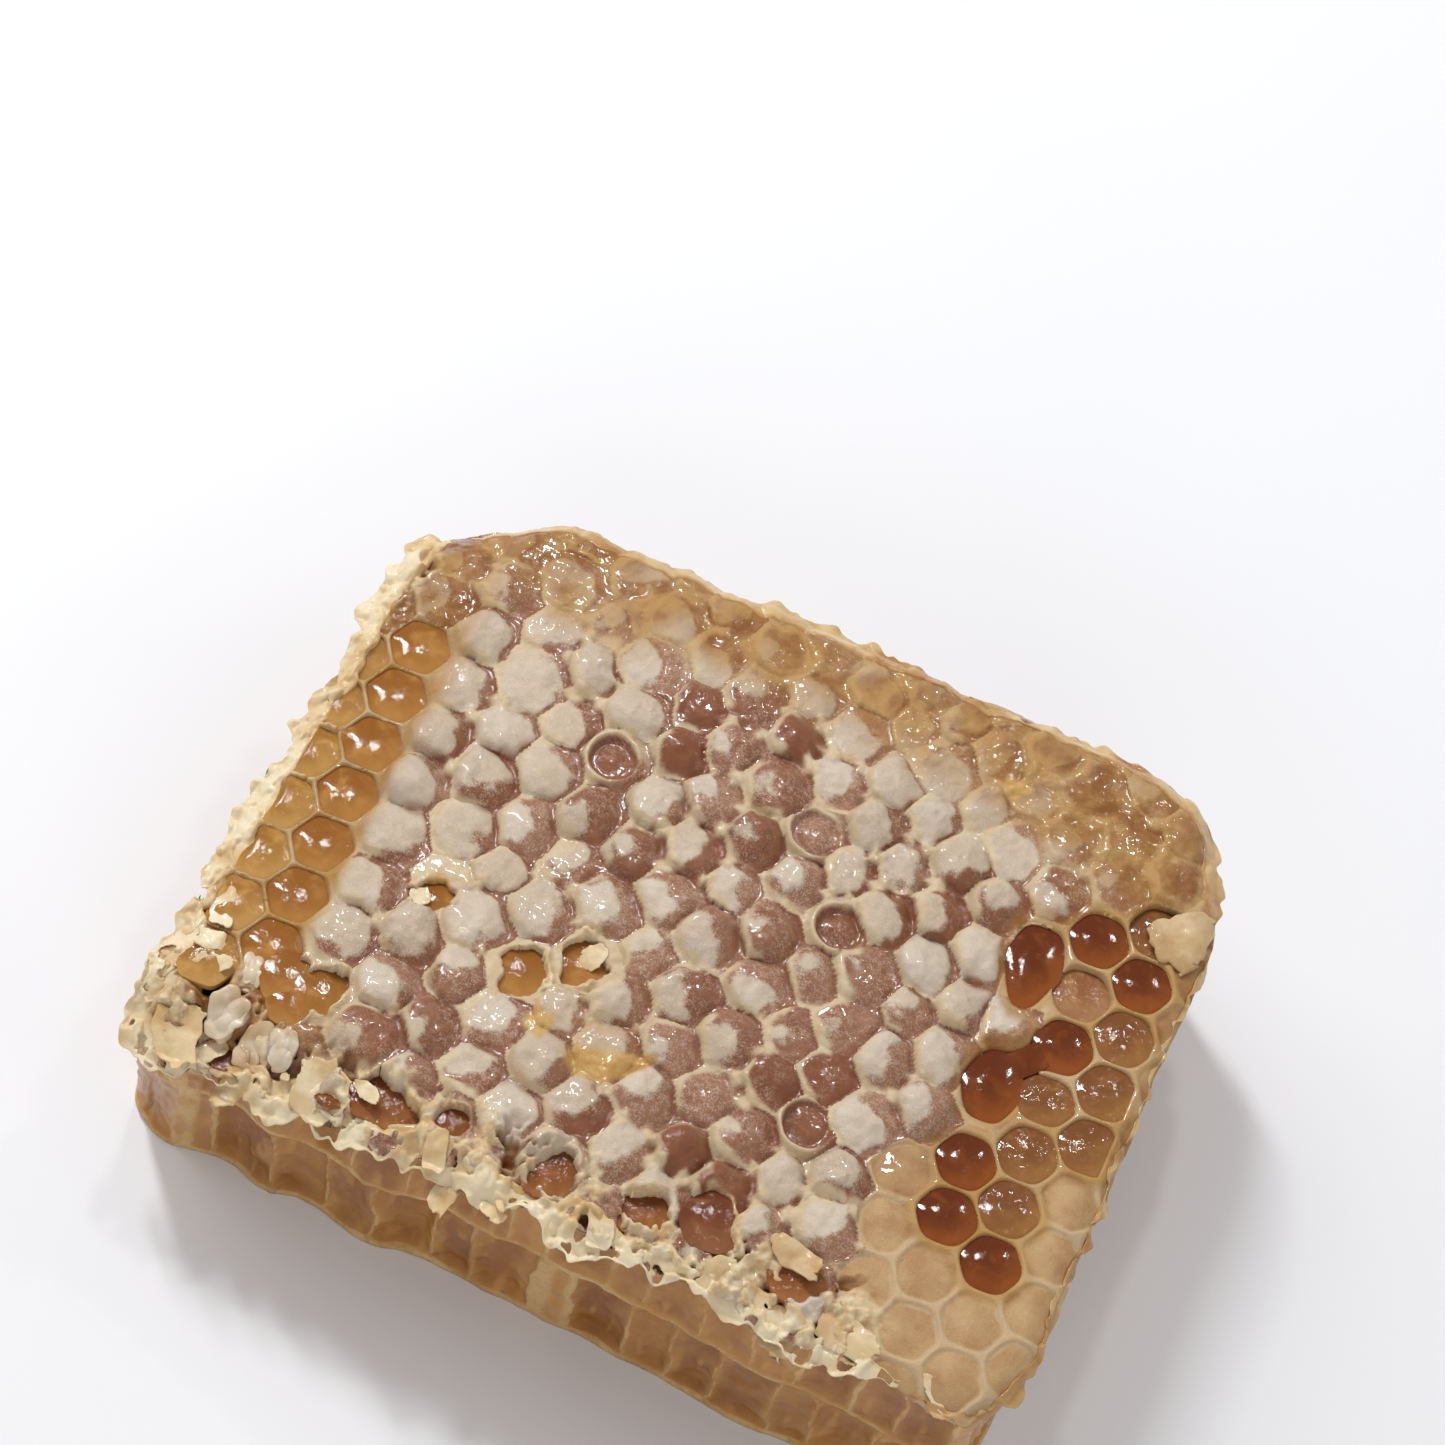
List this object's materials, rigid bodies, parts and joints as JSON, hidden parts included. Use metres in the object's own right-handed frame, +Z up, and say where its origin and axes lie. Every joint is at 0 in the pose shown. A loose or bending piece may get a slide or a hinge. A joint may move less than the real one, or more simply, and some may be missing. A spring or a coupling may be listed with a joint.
{
  "type": "honeycomb piece",
  "caption": "Cut rectangular piece of capped honeycomb lying flat, with open honey cells along the right and left sides and torn wax along the near edge.",
  "frame": {"origin": "on the ground under the middle of the piece's box", "axes": "+X along the long side towards the open dark cells, +Y across the short side away from the torn edge, +Z up out of the cappings"},
  "size_m": [0.0828, 0.0672, 0.0258],
  "materials": {
    "wax": "waxy cappings, cream where dry and pinkish brown where honey touches them from below",
    "dark_honey": "wet clear red-brown honey",
    "amber_honey": "wet clear golden-brown honey"
  },
  "bodies": {
    "root": {"comb": "wax", "honey_right_1": "dark_honey", "honey_right_2": "dark_honey", "honey_right_3": "dark_honey", "honey_right_4": "dark_honey", "honey_right_5": "dark_honey", "honey_right_6": "dark_honey", "honey_right_7": "dark_honey", "honey_right_8": "dark_honey", "honey_right_9": "dark_honey", "honey_right_10": "dark_honey", "honey_right_11": "dark_honey", "honey_right_12": "dark_honey", "honey_right_13": "dark_honey", "honey_right_14": "dark_honey", "honey_right_15": "dark_honey", "honey_right_16": "dark_honey", "honey_left_1": "amber_honey", "honey_left_2": "amber_honey", "honey_left_3": "amber_honey", "honey_left_4": "amber_honey", "honey_left_5": "amber_honey", "honey_left_6": "amber_honey", "honey_left_7": "amber_honey", "honey_outer_1": "amber_honey", "honey_outer_2": "amber_honey", "honey_outer_3": "amber_honey", "honey_outer_4": "amber_honey", "honey_outer_5": "amber_honey", "honey_outer_6": "amber_honey", "honey_outer_7": "amber_honey", "honey_torn_1": "amber_honey", "honey_torn_2": "amber_honey", "honey_torn_3": "amber_honey", "honey_torn_4": "amber_honey", "honey_torn_5": "dark_honey", "honey_torn_6": "dark_honey", "honey_torn_7": "dark_honey", "honey_torn_8": "dark_honey", "honey_torn_9": "dark_honey", "honey_torn_10": "dark_honey", "honey_torn_11": "dark_honey"}
  },
  "joints": []
}
